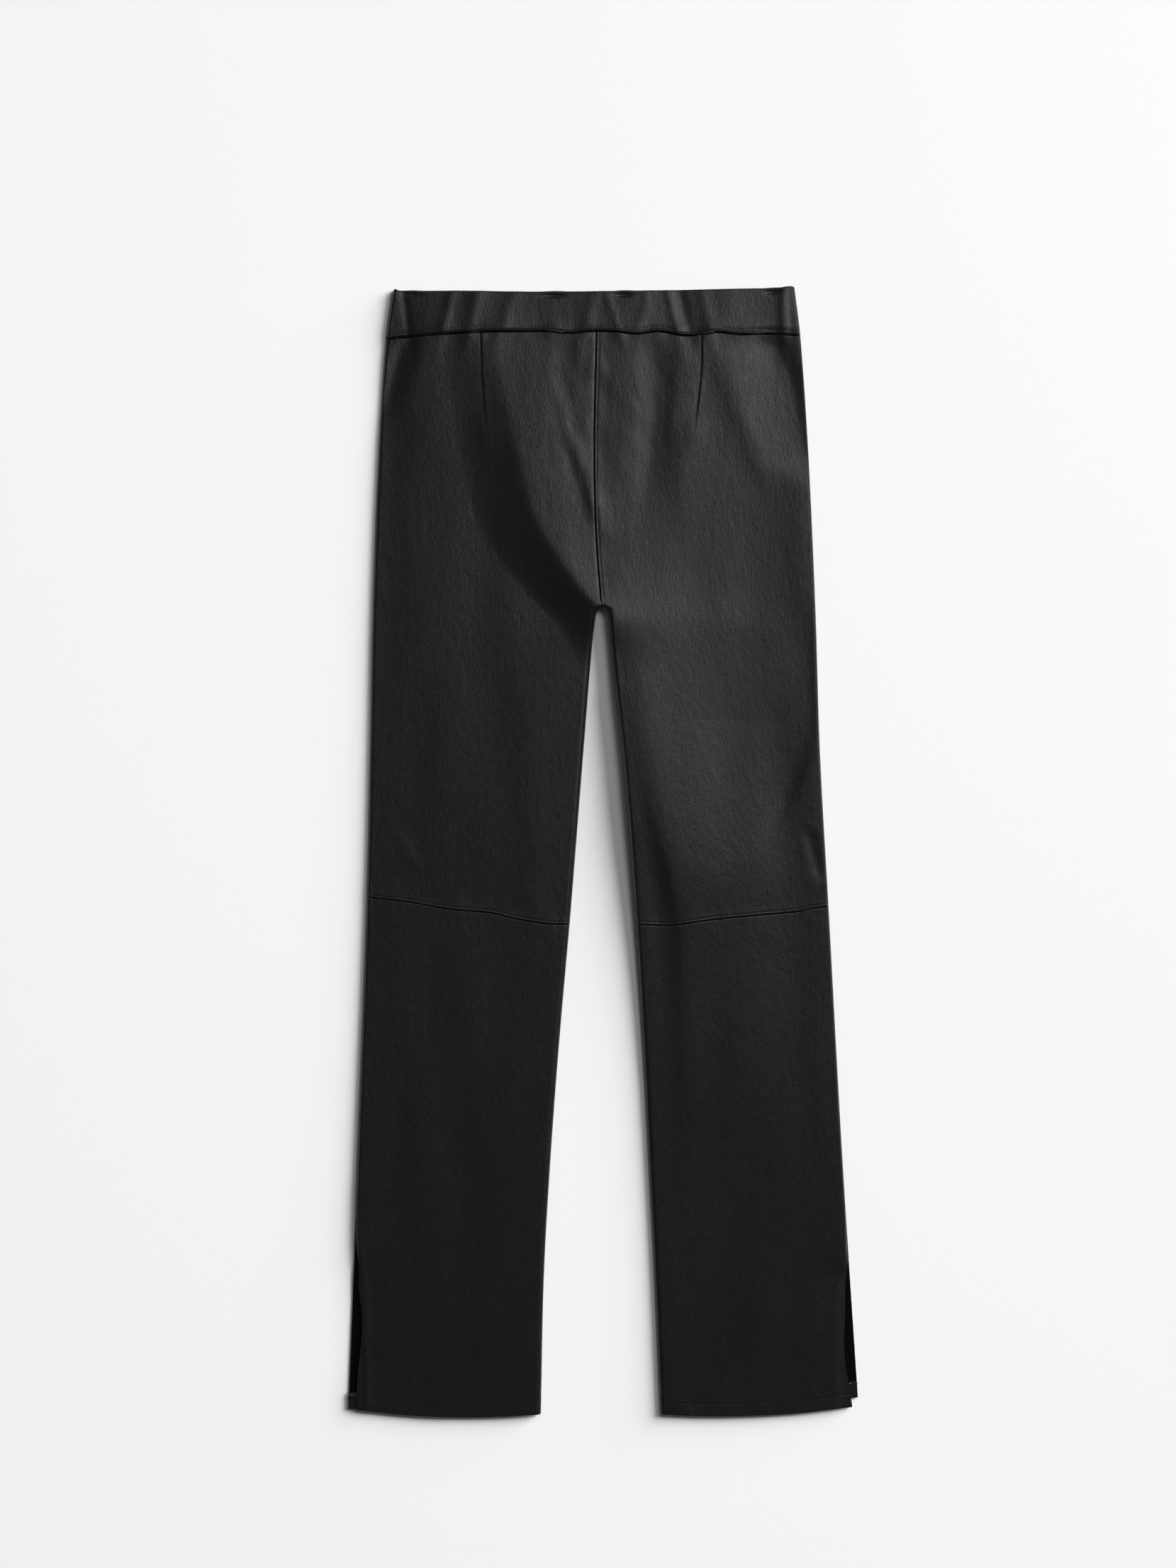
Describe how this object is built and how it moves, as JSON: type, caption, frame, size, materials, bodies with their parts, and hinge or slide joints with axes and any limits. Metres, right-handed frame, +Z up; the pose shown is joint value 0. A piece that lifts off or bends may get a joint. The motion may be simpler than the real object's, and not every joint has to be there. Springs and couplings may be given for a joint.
{
  "type": "leather trousers",
  "caption": "Pull-on leather trousers laid flat with the back up: gathered elastic waistband, darts, knee seams and slits at the hems.",
  "frame": {"origin": "middle of the underside's bounding box, on the surface the trousers lie on", "axes": "+Y from the hems to the waist, +X to the wearer's right, +Z up from the surface, out of the trousers' back"},
  "size_m": [0.4646, 1.0318, 0.0074],
  "materials": {
    "leather": "soft near-black nappa with a low sheen",
    "band": "the same leather, gathered by elastic"
  },
  "bodies": {
    "root": {"waistband_back": "band", "waistband_front": "band", "back_left_thigh": "leather", "back_right_thigh": "leather", "back_left_shin": "leather", "back_right_shin": "leather", "front_left_thigh": "leather", "front_right_thigh": "leather", "front_left_shin": "leather", "front_right_shin": "leather"}
  },
  "joints": []
}
